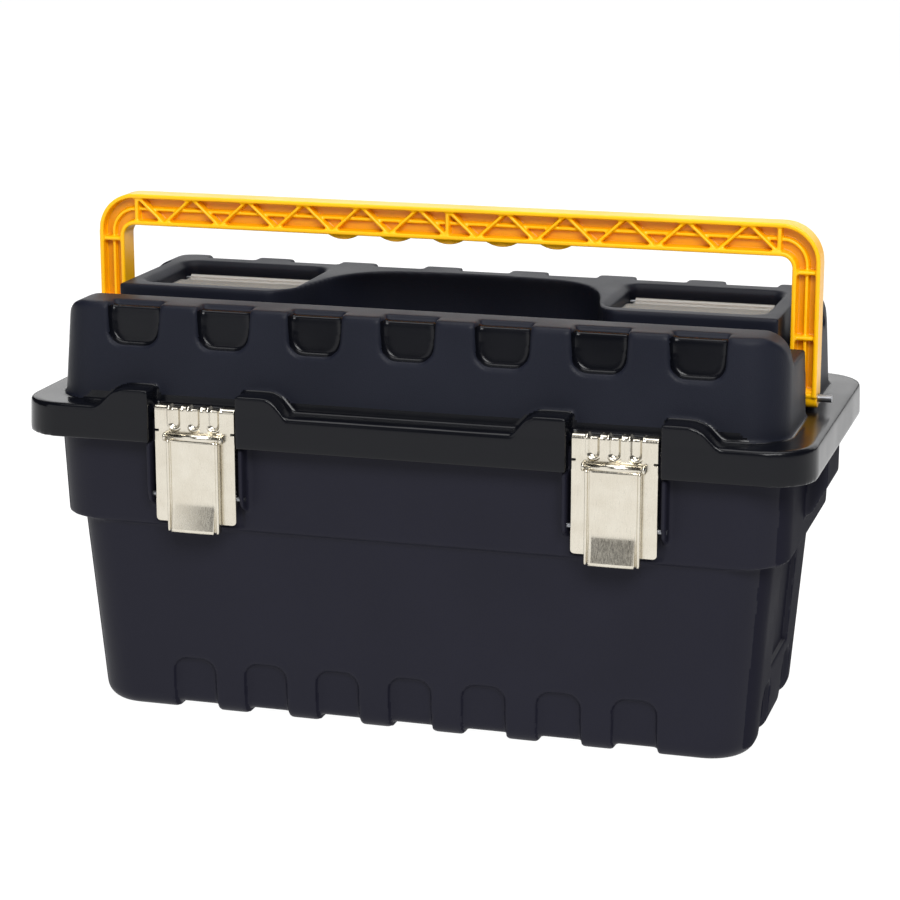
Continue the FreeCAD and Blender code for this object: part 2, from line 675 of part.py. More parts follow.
def handle_band(outer, inner, bottom, depth):
    """Band between two U outlines, each (half x, top, radius), centred on Y."""
    blank = handle_outline(*outer, bottom).extrude(V(0, depth, 0))
    blank = blank.cut(handle_outline(*inner, bottom - 1.0).extrude(V(0, depth, 0)))
    blank.translate(V(0, -depth / 2.0, 0))
    return blank


def rib_between(x0, z0, x1, z1, thick, depth):
    """Straight rib in the XZ plane."""
    length = math.hypot(x1 - x0, z1 - z0)
    nx = -(z1 - z0) / length * thick / 2.0
    nz = (x1 - x0) / length * thick / 2.0
    y = -depth / 2.0
    pts = [(x0 + nx, y, z0 + nz), (x1 + nx, y, z1 + nz), (x1 - nx, y, z1 - nz), (x0 - nx, y, z0 - nz)]
    return prism(pts, (0, depth, 0))


def make_handle():
    foot = PEG_Z + 1.0
    skin = HANDLE_SKIN
    outer = (LEG_OUT_X, GRIP_TOP, HANDLE_OUT_R)
    outer_in = (LEG_OUT_X - skin, GRIP_TOP - skin, HANDLE_OUT_R - skin)
    inner_out = (LEG_IN_X + skin, GRIP_LOW + skin, HANDLE_IN_R + skin)
    inner = (LEG_IN_X, GRIP_LOW, HANDLE_IN_R)
    mid_x = (LEG_IN_X + LEG_OUT_X) / 2.0
    mid_z = (GRIP_LOW + GRIP_TOP) / 2.0
    mid_r = (HANDLE_OUT_R + HANDLE_IN_R) / 2.0
    half = MID_RIB_T / 2.0
    mid_out = (mid_x + half, mid_z + half, mid_r + half)
    mid_in = (mid_x - half, mid_z - half, mid_r - half)
    rib_depth = HANDLE_T - 2.0 * RIB_IN
    pieces = [
        handle_band(outer, outer_in, foot, HANDLE_T),
        handle_band(inner_out, inner, foot, HANDLE_T),
        handle_band(outer, inner, foot, HANDLE_WEB),
        handle_band(mid_out, mid_in, foot, rib_depth - 4.0 * RIB_IN),
    ]
    low = GRIP_LOW + skin / 2.0
    high = GRIP_TOP - skin / 2.0
    post = LEG_IN_X - GRIP_POST_IN
    bay = 2.0 * post / DIAGONALS
    for i in range(DIAGONALS):
        x0 = -post + i * bay
        right_half = i >= DIAGONALS // 2
        falls = (i % 2 == 0) != right_half
        z0, z1 = (high, low) if falls else (low, high)
        pieces.append(rib_between(x0, z0, x0 + bay, z1, MID_RIB_T, rib_depth))
    for x in (-post, 0.0, post):
        pieces.append(rib_between(x, low, x, high, HANDLE_WEB, rib_depth))
    leg_h = GRIP_LOW - PEG_Z
    for side in (-1, 1):
        for z in (foot + 1.0, PEG_Z + leg_h * 0.43, PEG_Z + leg_h * 0.89):
            xa = side * (LEG_IN_X + 1)
            xb = side * (LEG_OUT_X - 1)
            pieces.append(rib_between(xa, z, xb, z, HANDLE_WEB, rib_depth))
    for i in range(SWELL_COUNT):
        x = (i - (SWELL_COUNT - 1) / 2.0) * SWELL_PITCH
        centre = V(x, -SWELL_T / 2.0, GRIP_LOW - SWELL_H + SWELL_R)
        swell = Part.makeCylinder(SWELL_R, SWELL_T, centre, V(0, 1, 0))
        under = box(x - SWELL_R, x + SWELL_R, -SWELL_T, SWELL_T, GRIP_LOW - OVER, GRIP_LOW + 1)
        pieces.append(swell.common(under))
    eye_r = PEG_R + EYE_WALL
    for side in (-1, 1):
        x0 = min(side * (LEG_OUT_X - EYE_L), side * LEG_OUT_X)
        eye = cyl_x(eye_r, x0, x0 + EYE_L, 0, PEG_Z)
        cheek = box(x0, x0 + EYE_L, -eye_r, eye_r, PEG_Z, PEG_Z + EYE_WALL)
        pieces += [eye, cheek]
    handle = fuse(pieces)
    bore = cyl_x(PEG_R + RUN, LEG_IN_X - 2, LEG_OUT_X + 2, 0, PEG_Z)
    return handle.cut(Part.makeCompound([bore, mirror_x(bore)]))


def make_handle_peg():
    return cyl_x(PEG_R, BLOCK_HALF_X - WALL, LEG_OUT_X + PEG_R * 3.5, 0, PEG_Z)


# ================================ latches ================================


def make_hasp():
    """Wide steel plate that swings on its axle and hooks over the lid's ledge."""
    low = HASP_TOP - HASP_H
    x0 = LATCH_X - LATCH_W / 2.0
    x1 = LATCH_X + LATCH_W / 2.0
    back = HASP_Y + PLATE_T
    plate = box(x0, x1, HASP_Y, back, low, HASP_TOP)
    hook = box(x0, x1, HASP_Y, -DOME_Y - 2.0, HASP_TOP - PLATE_T, HASP_TOP)
    pieces = [plate, hook]
    cheek_back = AXLE_Y + AXLE_R * 2.1
    for x in (x0, x1 - PLATE_T):
        pieces.append(box(x, x + PLATE_T, HASP_Y, cheek_back, AXLE_Z - 4.0, BARREL_Z - 2.0))
    ear_in = TONGUE_W / 2.0 + CLEAR
    ear_half = BARREL_R + CLEAR
    for side in (-1, 1):
        inner = LATCH_X + side * ear_in
        outer = inner + side * EAR_T
        xa = min(inner, outer)
        z0 = BARREL_Z - ear_half
        z1 = BARREL_Z + ear_half
        pieces.append(box(xa, xa + EAR_T, BARREL_Y - BARREL_R, HASP_Y + 0.5, z0, z1))
    hasp = fuse(pieces)
    cuts = []
    bead_low = BARREL_Z + 3.0
    for i in (-1, 0, 1):
        mid = LATCH_X + i * BEAD_PITCH
        half = BEAD_W / 2.0
        groove = box(mid - half, mid + half, HASP_Y - 1, HASP_Y + BEAD_DEPTH, bead_low, HASP_TOP + 1)
        lower = [e for e in groove.Edges if e.BoundBox.ZMax < bead_low + 0.01 and e.BoundBox.YLength > 1]
        cuts.append(groove.makeFillet(half - 0.25, lower))
    for x in (x0, x1 - 2 * PLATE_T):
        cuts.append(box(x, x + 2 * PLATE_T, HASP_Y - 1, back + 4, bead_low - PLATE_T, bead_low))
    cuts.append(cyl_x(AXLE_R + RUN, x0 - 1, x1 + 1, AXLE_Y, AXLE_Z))
    cuts.append(cyl_x(BARREL_PIN_R + RUN, x0, x1, BARREL_Y, BARREL_Z))
    return hasp.cut(Part.makeCompound(cuts))


def make_tongue():
    """Narrow channel that hangs from the hasp's barrel, with a lip for the finger."""
    x0 = LATCH_X - TONGUE_W / 2.0
    x1 = LATCH_X + TONGUE_W / 2.0
    face = BARREL_Y - BARREL_R + 0.6
    flat_low = TONGUE_TIP_Z + 3.0
    plate = box(x0, x1, face, face + PLATE_T, flat_low, BARREL_Z)
    pieces = [plate, cyl_x(BARREL_R, x0, x1, BARREL_Y, BARREL_Z)]
    for x in (x0, x1 - PLATE_T):
        pieces.append(box(x, x + PLATE_T, face, HASP_Y - CLEAR - 0.1, flat_low, BARREL_Z))
    lip = [
        (x0, face, flat_low + 1.0),
        (x0, face - TONGUE_LIP, TONGUE_TIP_Z),
        (x0, face - TONGUE_LIP + PLATE_T, TONGUE_TIP_Z),
        (x0, face + PLATE_T, flat_low + 1.0),
    ]
    pieces.append(prism(lip, (TONGUE_W, 0, 0)))
    tongue = fuse(pieces)
    return tongue.cut(cyl_x(BARREL_PIN_R + RUN, x0 - 1, x1 + 1, BARREL_Y, BARREL_Z))


def make_latch_axle():
    return cyl_x(AXLE_R, *axle_ends(), AXLE_Y, AXLE_Z)


def make_barrel_pin():
    reach = TONGUE_W / 2.0 + CLEAR + EAR_T
    return cyl_x(BARREL_PIN_R, LATCH_X - reach, LATCH_X + reach, BARREL_Y, BARREL_Z)


# ================================ lid organisers ================================


def make_bin():
    """Insert with six compartments that drops into the lid's well."""
    x0 = WELL_X[0] + CLEAR
    x1 = WELL_X[1] - CLEAR
    y0 = WELL_Y[0] + CLEAR
    y1 = WELL_Y[1] - CLEAR
    z0 = WELL_Z + SEAT
    z1 = COVER_Z - BIN_DROP
    wall = BIN_WALL
    blank = box(x0, x1, y0, y1, z0, z1)
    blank = blank.makeFillet(WELL_IN + 1.0 - CLEAR, vertical_edges(blank))
    cell_x = (x1 - x0 - 4 * wall) / 3.0
    cell_y = (y1 - y0 - 3 * wall) / 2.0
    cells = []
    for i in range(3):
        for j in range(2):
            xa = x0 + wall + i * (cell_x + wall)
            ya = y0 + wall + j * (cell_y + wall)
            cell = box(xa, xa + cell_x, ya, ya + cell_y, z0 + wall, z1 + 5)
            cells.append(cell.makeFillet(1.5, vertical_edges(cell)))
    return blank.cut(Part.makeCompound(cells))


def make_cover():
    """Clear lid of an organiser, with its hinge barrel at the rear and a finger lip in front."""
    x0 = WINDOW_X[0] + CLEAR
    x1 = WINDOW_X[1] - CLEAR
    y0 = WINDOW_Y[0] + CLEAR
    neck_y = COVER_AXIS_Y - COVER_NECK_L
    neck_x0 = x0 + COVER_NECK
    neck_x1 = x1 - COVER_NECK
    plate = box(x0, x1, y0, neck_y, COVER_Z, COVER_Z + COVER_T)
    front = [e for e in vertical_edges(plate) if e.BoundBox.YMax < y0 + 1]
    plate = plate.makeFillet(WINDOW_R, front)
    neck = box(neck_x0, neck_x1, neck_y - 1.0, COVER_AXIS_Y, COVER_Z, COVER_Z + COVER_T)
    mid = (x0 + x1) / 2.0
    lip = box(mid - 9, mid + 9, y0 + 0.5, y0 + 2.5, COVER_Z + COVER_T, COVER_Z + COVER_T + 1.6)
    barrel = cyl_x(COVER_BARREL_R, neck_x0, neck_x1, COVER_AXIS_Y, COVER_PIN_Z)
    cover = fuse([plate, neck, lip, barrel])
    return cover.cut(cyl_x(COVER_PIN_R + RUN, x0 - 1, x1 + 1, COVER_AXIS_Y, COVER_PIN_Z))


def make_cover_pin():
    return cyl_x(COVER_PIN_R, WINDOW_X[0] - 1.8, WINDOW_X[1] + 1.8, COVER_AXIS_Y, COVER_PIN_Z)


# ================================ lift-out tray ================================


def tray_body(inset, top):
    r = TRAY_R - inset
    low = (TRAY_X - TRAY_DRAFT - inset, TRAY_Y - TRAY_DRAFT - inset, r, TRAY_Z + inset)
    return taper(low, (TRAY_X - inset, TRAY_Y - inset, r, top))


def post_span():
    return TRAY_POST_X, TRAY_POST_X + TRAY_POST_T


def make_tray():
    top = TRAY_Z + TRAY_H
    shell = tray_body(0.0, top).cut(tray_body(TRAY_WALL, top + 1.0))
    x0, x1 = post_span()
    pieces = [shell]
    for side in (-1, 1):
        xa = min(side * x0, side * x1)
        post = box(xa, xa + TRAY_POST_T, -TRAY_POST_R, TRAY_POST_R, TRAY_Z + 1.0, PIVOT_Z)
        crown = cyl_x(TRAY_POST_R, xa, xa + TRAY_POST_T, 0, PIVOT_Z)
        pieces += [post, crown]
        for wall_side in (-1, 1):
            for guide in (-1, 1):
                gx = side * DIVIDER_X + guide * (DIVIDER_T + CLEAR)
                y_wall = wall_side * (TRAY_Y - TRAY_WALL)
                ya = min(y_wall, y_wall - wall_side * GUIDE_L) - 0.5
                half = DIVIDER_T / 2.0
                pieces.append(box(gx - half, gx + half, ya, ya + GUIDE_L + 1.0, TRAY_Z + 1.0, top - 3.0))
    pieces.append(box(-x0 - 1.0, x0 + 1.0, -1.0, 1.0, TRAY_Z + 1.0, TRAY_Z + RIDGE_H))
    bore = cyl_x(TRAY_PIN_R + RUN, x0 - 1, x1 + 1, 0, PIVOT_Z)
    trim = tray_body(0.0, top + 1.0)
    body = fuse(pieces[:1] + [p.common(trim) for p in pieces[1:]])
    return body.cut(Part.makeCompound([bore, mirror_x(bore)]))


def make_divider(side):
    """Cross wall that slides down between two guides on each long wall of the tray."""
    mid = side * DIVIDER_X
    half = DIVIDER_T / 2.0
    reach = TRAY_Y - TRAY_WALL - CLEAR - 1.2
    z0 = TRAY_Z + TRAY_WALL + SEAT
    return box(mid - half, mid + half, -reach, reach, z0, TRAY_Z + TRAY_H - 4.0)


def make_bail():
    """Swinging handle of the tray, lying flat towards the front."""
    x1 = TRAY_POST_X - CLEAR
    x0 = x1 - BAIL_T
    half = BAIL_T / 2.0
    z0 = PIVOT_Z - half
    z1 = PIVOT_Z + half
    bar = box(-x1, x1, -BAIL_REACH - half, -BAIL_REACH + half, z0, z1)
    arm = box(x0, x1, -BAIL_REACH, 0, z0, z1)
    eye = cyl_x(half + 1.0, x0, x1, 0, PIVOT_Z)
    bail = fuse([bar, arm, mirror_x(arm), eye, mirror_x(eye)])
    ends = [e for e in vertical_edges(bail) if e.BoundBox.YMax < -BAIL_REACH and abs(e.BoundBox.XMin) > x0]
    bail = bail.makeFillet(4.0, ends)
    bore = cyl_x(TRAY_PIN_R + RUN, x0 - 1, x1 + 1, 0, PIVOT_Z)
    return bail.cut(Part.makeCompound([bore, mirror_x(bore)]))


def make_bail_pin():
    x0, x1 = post_span()
    return cyl_x(TRAY_PIN_R, x0 - BAIL_T + 1.0, x1 + 0.5, 0, PIVOT_Z)


# ================================ assembly ================================


def make_hinge_pin():
    half = 1.5 * KNUCKLE_L
    return cyl_x(HINGE_PIN_R, HINGE_X - half, HINGE_X + half, HINGE_Y, HINGE_Z)


def export_pair(shape, name):
    """The same piece on the right and, mirrored, on the left."""
    export(shape, name + "_right")
    export(mirror_x(shape), name + "_left")


export(make_case(), "case_shell")
export(make_lid(), "lid_shell")
export(make_handle(), "carry_handle")
export(make_tray(), "tray")
export(make_bail(), "tray_handle")
export_pair(make_hinge_pin(), "hinge_pin")
export_pair(make_handle_peg(), "handle_peg")
export_pair(make_hasp(), "latch_hasp")
export_pair(make_tongue(), "latch_tongue")
export_pair(make_latch_axle(), "latch_axle")
export_pair(make_barrel_pin(), "tongue_pin")
export_pair(make_bin(), "organiser_bin")
export_pair(make_cover(), "organiser_cover")
export_pair(make_cover_pin(), "cover_pin")
export_pair(make_divider(1), "tray_divider")
export_pair(make_bail_pin(), "tray_handle_pin")
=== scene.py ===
import bmesh
import bpy
import math
from mathutils import Matrix, Vector


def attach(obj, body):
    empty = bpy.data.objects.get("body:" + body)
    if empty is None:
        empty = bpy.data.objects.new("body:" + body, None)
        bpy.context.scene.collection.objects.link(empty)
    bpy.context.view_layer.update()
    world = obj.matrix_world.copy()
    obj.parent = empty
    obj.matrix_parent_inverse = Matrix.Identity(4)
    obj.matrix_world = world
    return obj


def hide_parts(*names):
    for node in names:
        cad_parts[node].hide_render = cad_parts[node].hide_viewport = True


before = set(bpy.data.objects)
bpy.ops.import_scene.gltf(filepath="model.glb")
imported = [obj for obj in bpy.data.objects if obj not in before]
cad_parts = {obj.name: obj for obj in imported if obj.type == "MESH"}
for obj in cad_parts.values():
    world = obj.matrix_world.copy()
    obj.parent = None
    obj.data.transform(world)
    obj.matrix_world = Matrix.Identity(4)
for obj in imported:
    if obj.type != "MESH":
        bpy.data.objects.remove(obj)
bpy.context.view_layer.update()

# ---- the case ----
# The lower half is one injection-moulded polypropylene shell, spark-eroded to a fine matt texture.
# The lid and its pins hang from it, and the latches are pinned in its upright ribs.
MM = 0.001
CASE_HEX = "1A1A23"
CASE_LIGHT_HEX = "20202A"
CASE_SKIN = 1.15 * MM      # grid of the moulding's skin, which sets how soft its edges are
CASE_PASSES = 4            # easing passes over that skin
SHELL_KEEP = 0.30          # share of the skin's faces that a large shell keeps
GRAIN_CASE = 0.45 * MM     # one grain of the texture, drawn coarser than a real one so that it shows
FLOW_CLOUD = 55 * MM       # size of the faint clouds that the flowing melt leaves
RELIEF = 0.1 * MM          # height of the texture at full strength
END_FACING = 0.8           # a face is part of the ends when its normal lies this much along X


def linear(hex_code):
    """sRGB hex to linear RGBA."""
    out = []
    for i in (0, 2, 4):
        c = int(hex_code[i:i + 2], 16) / 255.0
        out.append(c / 12.92 if c <= 0.04045 else ((c + 0.055) / 1.055) ** 2.4)
    return (*out, 1.0)


def add(tree, kind, settings=None, links=None):
    """Adds one node. settings go to its properties or inputs, links join its inputs to other outputs."""
    node = tree.nodes.new(kind)
    for key, value in (settings or {}).items():
        if isinstance(key, str) and key in node.bl_rna.properties:
            setattr(node, key, value)
        else:
            node.inputs[key].default_value = value
    for key, source in (links or {}).items():
        tree.links.new(source, node.inputs[key])
    return node


def surface(name):
    """An empty node material: its tree, its shader and its output."""
    mat = bpy.data.materials.new(name)
    mat.use_nodes = True
    tree = mat.node_tree
    tree.nodes.clear()
    shader = add(tree, "ShaderNodeBsdfPrincipled")
    add(tree, "ShaderNodeOutputMaterial", links={"Surface": shader.outputs[0]})
    return mat, tree, shader


def copy_of(node_name, name):
    """A free copy of a CAD node's mesh, with its seams welded."""
    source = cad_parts[node_name]
    mesh = source.data.copy()
    mesh.materials.clear()
    bm = bmesh.new()
    bm.from_mesh(mesh)
    bmesh.ops.remove_doubles(bm, verts=bm.verts, dist=0.01 * MM)
    bm.to_mesh(mesh)
    bm.free()
    mesh.name = name
    piece = bpy.data.objects.new(name, mesh)
    bpy.context.scene.collection.objects.link(piece)
    return piece


def apply_modifiers(piece):
    """Turns a piece's modifiers into its mesh."""
    dg = bpy.context.evaluated_depsgraph_get()
    mesh = bpy.data.meshes.new_from_object(piece.evaluated_get(dg))
    piece.modifiers.clear()
    old = piece.data
    piece.data = mesh
    bpy.data.meshes.remove(old)
    return piece


def moulded(piece, skin, passes, keep):
    """Gives a moulding the soft edges that a polished steel mould leaves: one closed skin, eased."""
    remesh = piece.modifiers.new("skin", "REMESH")
    remesh.mode = "VOXEL"
    remesh.voxel_size = skin
    remesh.adaptivity = 0.0
    ease = piece.modifiers.new("ease", "SMOOTH")
    ease.factor = 0.5
    ease.iterations = passes
    thin = piece.modifiers.new("thin", "DECIMATE")
    thin.ratio = keep
    apply_modifiers(piece)
    piece.data.shade_smooth()
    return piece


def moulded_black(name, base_hex, light_hex, grain, rough, relief, sheen):
    """Polypropylene with carbon black: near black, with a fine grain that breaks up its highlights.

    Flow clouds shift its colour and gloss a little, and a sheen index below a real one keeps it matt.
    """
    mat, tree, shader = surface(name)
    shader.inputs["IOR"].default_value = sheen
    place = add(tree, "ShaderNodeNewGeometry").outputs["Position"]
    clouds = add(tree, "ShaderNodeTexNoise", {"Scale": 1 / FLOW_CLOUD, "Detail": 3.0}, {"Vector": place})
    fine = add(tree, "ShaderNodeTexNoise", {"Scale": 1 / grain, "Detail": 2.0}, {"Vector": place})
    mix = add(tree, "ShaderNodeMixRGB", {"Color1": linear(base_hex), "Color2": linear(light_hex)},
              {"Fac": clouds.outputs["Fac"]})
    tree.links.new(mix.outputs[0], shader.inputs["Base Color"])
    spread = add(tree, "ShaderNodeMapRange", {1: 0.35, 2: 0.65, 3: rough - 0.04, 4: rough + 0.05},
                 {0: clouds.outputs["Fac"]})
    tree.links.new(spread.outputs[0], shader.inputs["Roughness"])
    bump = add(tree, "ShaderNodeBump", {"Strength": relief, "Distance": RELIEF},
               {"Height": fine.outputs["Fac"]})
    tree.links.new(bump.outputs[0], shader.inputs["Normal"])
    return mat


case = moulded(copy_of("case_shell", "case_moulding"), CASE_SKIN, CASE_PASSES, SHELL_KEEP)
# The long sides keep a soft sheen. The ends are textured deeper and look flat and dull.
case_mat = moulded_black("polypropylene_case", CASE_HEX, CASE_LIGHT_HEX, GRAIN_CASE,
                         rough=0.46, relief=0.5, sheen=1.2)
ends_mat = moulded_black("polypropylene_ends", CASE_HEX, CASE_LIGHT_HEX, GRAIN_CASE,
                         rough=0.6, relief=0.7, sheen=1.07)
case.data.materials.append(case_mat)
case.data.materials.append(ends_mat)
for face in case.data.polygons:
    face.material_index = 1 if abs(face.normal.x) > END_FACING else 0
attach(case, "case")
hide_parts("case_shell")

# ---- the lid ----
# The lid is one moulding of the same plastic: a textured dome on a polished ledge, with raised bosses
# beside the latches. It turns on two steel pins along the back.
LID_HEX = "14161F"
LID_LIGHT_HEX = "1B1D27"
LEDGE_HEX = "07080C"
LEDGE_LIGHT_HEX = "0C0D13"
LID_SKIN = 1.1 * MM
LID_PASSES = 5
GRAIN_LID = 0.75 * MM
LEDGE_TOP = 166.5 * MM
BOSS_FRONT = -79.5 * MM
POCKET_LOW = 193.8 * MM
POCKET_HIGH = 214.2 * MM
POCKET_PITCH = 48.5 * MM
POCKET_HALF = 15.6 * MM
POCKET_SIDE = 3            # pockets on each side of the middle one
POCKET_SKIN = 1.8 * MM     # a pocket's inside starts this far behind the dome's side
POCKET_BACK = 9 * MM       # and ends this far behind it
DOME_FOOT_Y = 80.0 * MM    # dome's long side at the ledge
DOME_LEAN = 0.100          # and how far it leans in for each metre of height

lid = moulded(copy_of("lid_shell", "lid_moulding"), LID_SKIN, LID_PASSES, SHELL_KEEP)
# The dome's deep texture spreads the light. The ledge is nearly smooth and shows clear dark reflections.
dome_mat = moulded_black("polypropylene_dome", LID_HEX, LID_LIGHT_HEX, GRAIN_LID,
                         rough=0.44, relief=0.9, sheen=1.22)
ledge_mat = moulded_black("polypropylene_ledge", LEDGE_HEX, LEDGE_LIGHT_HEX, GRAIN_LID,
                          rough=0.22, relief=0.08, sheen=1.3)
lid.data.materials.append(dome_mat)
lid.data.materials.append(ledge_mat)


def is_polished(at):
    """True on the ledge, the bosses and the insides of the edge pockets, where the mould is polished."""
    side = DOME_FOOT_Y - (at.z - LEDGE_TOP) * DOME_LEAN
    column = round(at.x / POCKET_PITCH)
    beside = abs(at.x - column * POCKET_PITCH) < POCKET_HALF and abs(column) <= POCKET_SIDE
    behind = POCKET_SKIN < side - abs(at.y) < POCKET_BACK
    in_pocket = beside and behind and POCKET_LOW < at.z < POCKET_HIGH
    return at.z < LEDGE_TOP or at.y < BOSS_FRONT or in_pocket


for face in lid.data.polygons:
    face.material_index = 1 if is_polished(face.center) else 0
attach(lid, "lid")
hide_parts("lid_shell")

# ---- the carry handle ----
# A ribbed yellow moulding in glossy polypropylene; its feet snap over two steel pegs in the lid.
YELLOW_HEX = "FFC008"
YELLOW_DEEP_HEX = "FDB605"
WEB_SHADE_HEX = "DE9600"         # painted shade: the ribbing's floor is coloured a deeper orange for the shade that falls between the ribs
WEB_SHADE_DEEP_HEX = "D48C00"
# Painted shade goes on faces this close to the web's middle that face along Y.
SHADED_WEB_HALF = 2.6 * MM
HANDLE_SKIN = 0.55 * MM
HANDLE_PASSES = 2
HANDLE_KEEP = 0.35
HANDLE_CLOUD = 30 * MM
HANDLE_GRAIN = 0.5 * MM    # coarser than the mould's real finish, so that it shows at all
HANDLE_RELIEF = 0.04 * MM


def moulded_yellow(name, base_hex, deep_hex):
    """Pigmented polypropylene from a smooth mould: strong even yellow with soft, slightly uneven gloss."""
    mat, tree, shader = surface(name)
    shader.inputs["IOR"].default_value = 1.38
    place = add(tree, "ShaderNodeNewGeometry").outputs["Position"]
    clouds = add(tree, "ShaderNodeTexNoise", {"Scale": 1 / HANDLE_CLOUD, "Detail": 2.0}, {"Vector": place})
    mix = add(tree, "ShaderNodeMixRGB", {"Color1": linear(base_hex), "Color2": linear(deep_hex)},
              {"Fac": clouds.outputs["Fac"]})
    tree.links.new(mix.outputs[0], shader.inputs["Base Color"])
    spread = add(tree, "ShaderNodeMapRange", {1: 0.3, 2: 0.7, 3: 0.30, 4: 0.38},
                 {0: clouds.outputs["Fac"]})
    tree.links.new(spread.outputs[0], shader.inputs["Roughness"])
    fine = add(tree, "ShaderNodeTexNoise", {"Scale": 1 / HANDLE_GRAIN, "Detail": 1.0}, {"Vector": place})
    bump = add(tree, "ShaderNodeBump", {"Strength": 0.15, "Distance": HANDLE_RELIEF},
               {"Height": fine.outputs["Fac"]})
    tree.links.new(bump.outputs[0], shader.inputs["Normal"])
    return mat


handle = moulded(copy_of("carry_handle", "handle_moulding"), HANDLE_SKIN, HANDLE_PASSES, HANDLE_KEEP)
yellow = moulded_yellow("polypropylene_yellow", YELLOW_HEX, YELLOW_DEEP_HEX)
handle.data.materials.append(yellow)
# Painted shade: a deeper orange copy of the yellow goes on the web's faces between the ribs.
handle.data.materials.append(moulded_yellow("polypropylene_yellow_painted_shade", WEB_SHADE_HEX, WEB_SHADE_DEEP_HEX))
for face in handle.data.polygons:
    face.material_index = 1 if abs(face.center.y) < SHADED_WEB_HALF and abs(face.normal.y) > 0.5 else 0
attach(handle, "handle")
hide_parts("carry_handle")

# ---- the latches ----
# Each latch is two pressings of nickel-plated sheet steel. The wide hasp has three stiffening beads
# and a hook over the ledge, and turns on a wire axle. The narrow tongue hangs in front from a barrel.
NICKEL_HEX = "DDD8CB"
NICKEL_DARK_HEX = "C9C1B1"
LATCH_X = 108.4 * MM
SHEET = 0.9 * MM
HASP_HALF = 21.5 * MM
HASP_FACE = -88.0 * MM
HASP_LOW = 107.3 * MM
HASP_CORNER = 2.0 * MM
BEND_FROM = 164.9 * MM     # height where the hook starts to bend
BEND_R = 2.5 * MM
HOOK_FLAT = 3.3 * MM
BEAD_PITCH = 10.5 * MM
BEAD_FOOT = 158.7 * MM     # centre of each bead's round end
BEAD_HALF = 3.1 * MM
BEAD_FLOOR = 0.45          # share of a bead's half width that is its flat floor
BEAD_DEEP = 1.2 * MM
BEAD_RIM = 0.4 * MM        # height of the lip raised round a bead
BEAD_RIM_AT = 1.12         # where the lip stands, in half widths of the bead
BEAD_RIM_W = 0.5 * MM
BEADS_FROM = 153.0 * MM    # the fine grid starts here, below the beads
FINE_STEP = 0.36 * MM
CORNER_STEP = 0.4 * MM
COARSE_STEP = 5 * MM
NOTCH_FROM = 19.4 * MM
NOTCH_Z = (154.1 * MM, 155.0 * MM)
WALL_Z = (117 * MM, 150 * MM)          # the hasp's folded side walls
WALL_BACK = -83.4 * MM
WALL_SUNK = 0.3 * MM       # how far a wall starts inside the sheet it is folded from
EAR_X = (14.35 * MM, 15.65 * MM)       # the two ears that hold the barrel
EAR_Z = (149.8 * MM, 154.2 * MM)
EAR_SUNK = 0.4 * MM
EAR_R = 2.2 * MM
TONGUE_FACE = -91.5 * MM
TONGUE_TIP = 103.5 * MM
TONGUE_TOP = 150.9 * MM
TONGUE_STEP = 1.5 * MM
CREASE_Z = 118.0 * MM      # below this the tongue's face flares out for the finger
FLARE = 0.17
FACE_FADE = (11.3 * MM, 12.0 * MM)     # across this the flare and the bow die out
FACE_HALF = 11.2 * MM
FACE_FLAT = 9.8 * MM
FACE_STEP = 1.4 * MM
FACE_BOW = 0.22 * MM       # how far the face bows out in the middle
# Half of the tongue's section in mm, from the channel's back edge round the rolled rim to the face:
# distance from the middle, and how far it stands out.
TONGUE_WALL = [(13.9, -2.9), (13.9, -1.4), (13.9, 0.1)]
TONGUE_ROLL = [(13.78, 0.55), (13.45, 0.85), (13.05, 0.95), (12.65, 0.8)]
TONGUE_GROOVE = [(12.4, 0.35), (12.2, -0.2), (11.95, -0.35), (11.6, -0.15), (11.2, 0.0)]
BARREL_AT = (-90.2 * MM, 152.0 * MM)
BARREL_R = 1.95 * MM
BARREL_HALF = 14 * MM
EDGE_ROUND = 0.2 * MM      # rounding of the sheared edges
SHARP = 1.0                # an edge that turns by more than this, in radians, is a sheared one


def plated(name, base_hex, dark_hex, rough, spots):
    """Plating over rolled or drawn steel: bright metal, its gloss broken by faint lines and stains."""
    mat, tree, shader = surface(name)
    shader.inputs["Metallic"].default_value = 1.0
    place = add(tree, "ShaderNodeNewGeometry").outputs["Position"]
    stretch = add(tree, "ShaderNodeMapping", {"Scale": (6.0, 6.0, 0.4)}, {"Vector": place})
    lines = add(tree, "ShaderNodeTexNoise", {"Scale": 1 / (2.5 * MM), "Detail": 4.0},
                {"Vector": stretch.outputs[0]})
    stain = add(tree, "ShaderNodeTexNoise", {"Scale": 1 / spots, "Detail": 4.0}, {"Vector": place})
    mix = add(tree, "ShaderNodeMixRGB", {"Color1": linear(base_hex), "Color2": linear(dark_hex)},
              {"Fac": stain.outputs["Fac"]})
    tree.links.new(mix.outputs[0], shader.inputs["Base Color"])
    spread = add(tree, "ShaderNodeMapRange", {1: 0.3, 2: 0.7, 3: rough - 0.05, 4: rough + 0.08},
                 {0: lines.outputs["Fac"]})
    tree.links.new(spread.outputs[0], shader.inputs["Roughness"])
    bump = add(tree, "ShaderNodeBump", {"Strength": 0.08, "Distance": 0.03 * MM},
               {"Height": lines.outputs["Fac"]})
    tree.links.new(bump.outputs[0], shader.inputs["Normal"])
    return mat


def steps(low, high, pitch):
    """Evenly spaced stations from low to high, no further apart than pitch."""
    count = max(1, math.ceil((high - low) / pitch))
    return [low + (high - low) * i / count for i in range(count + 1)]


def ease(low, high, value):
    """Rises smoothly from 0 at low to 1 at high."""
    share = min(max((value - low) / (high - low), 0.0), 1.0)
    return share * share * (3.0 - 2.0 * share)


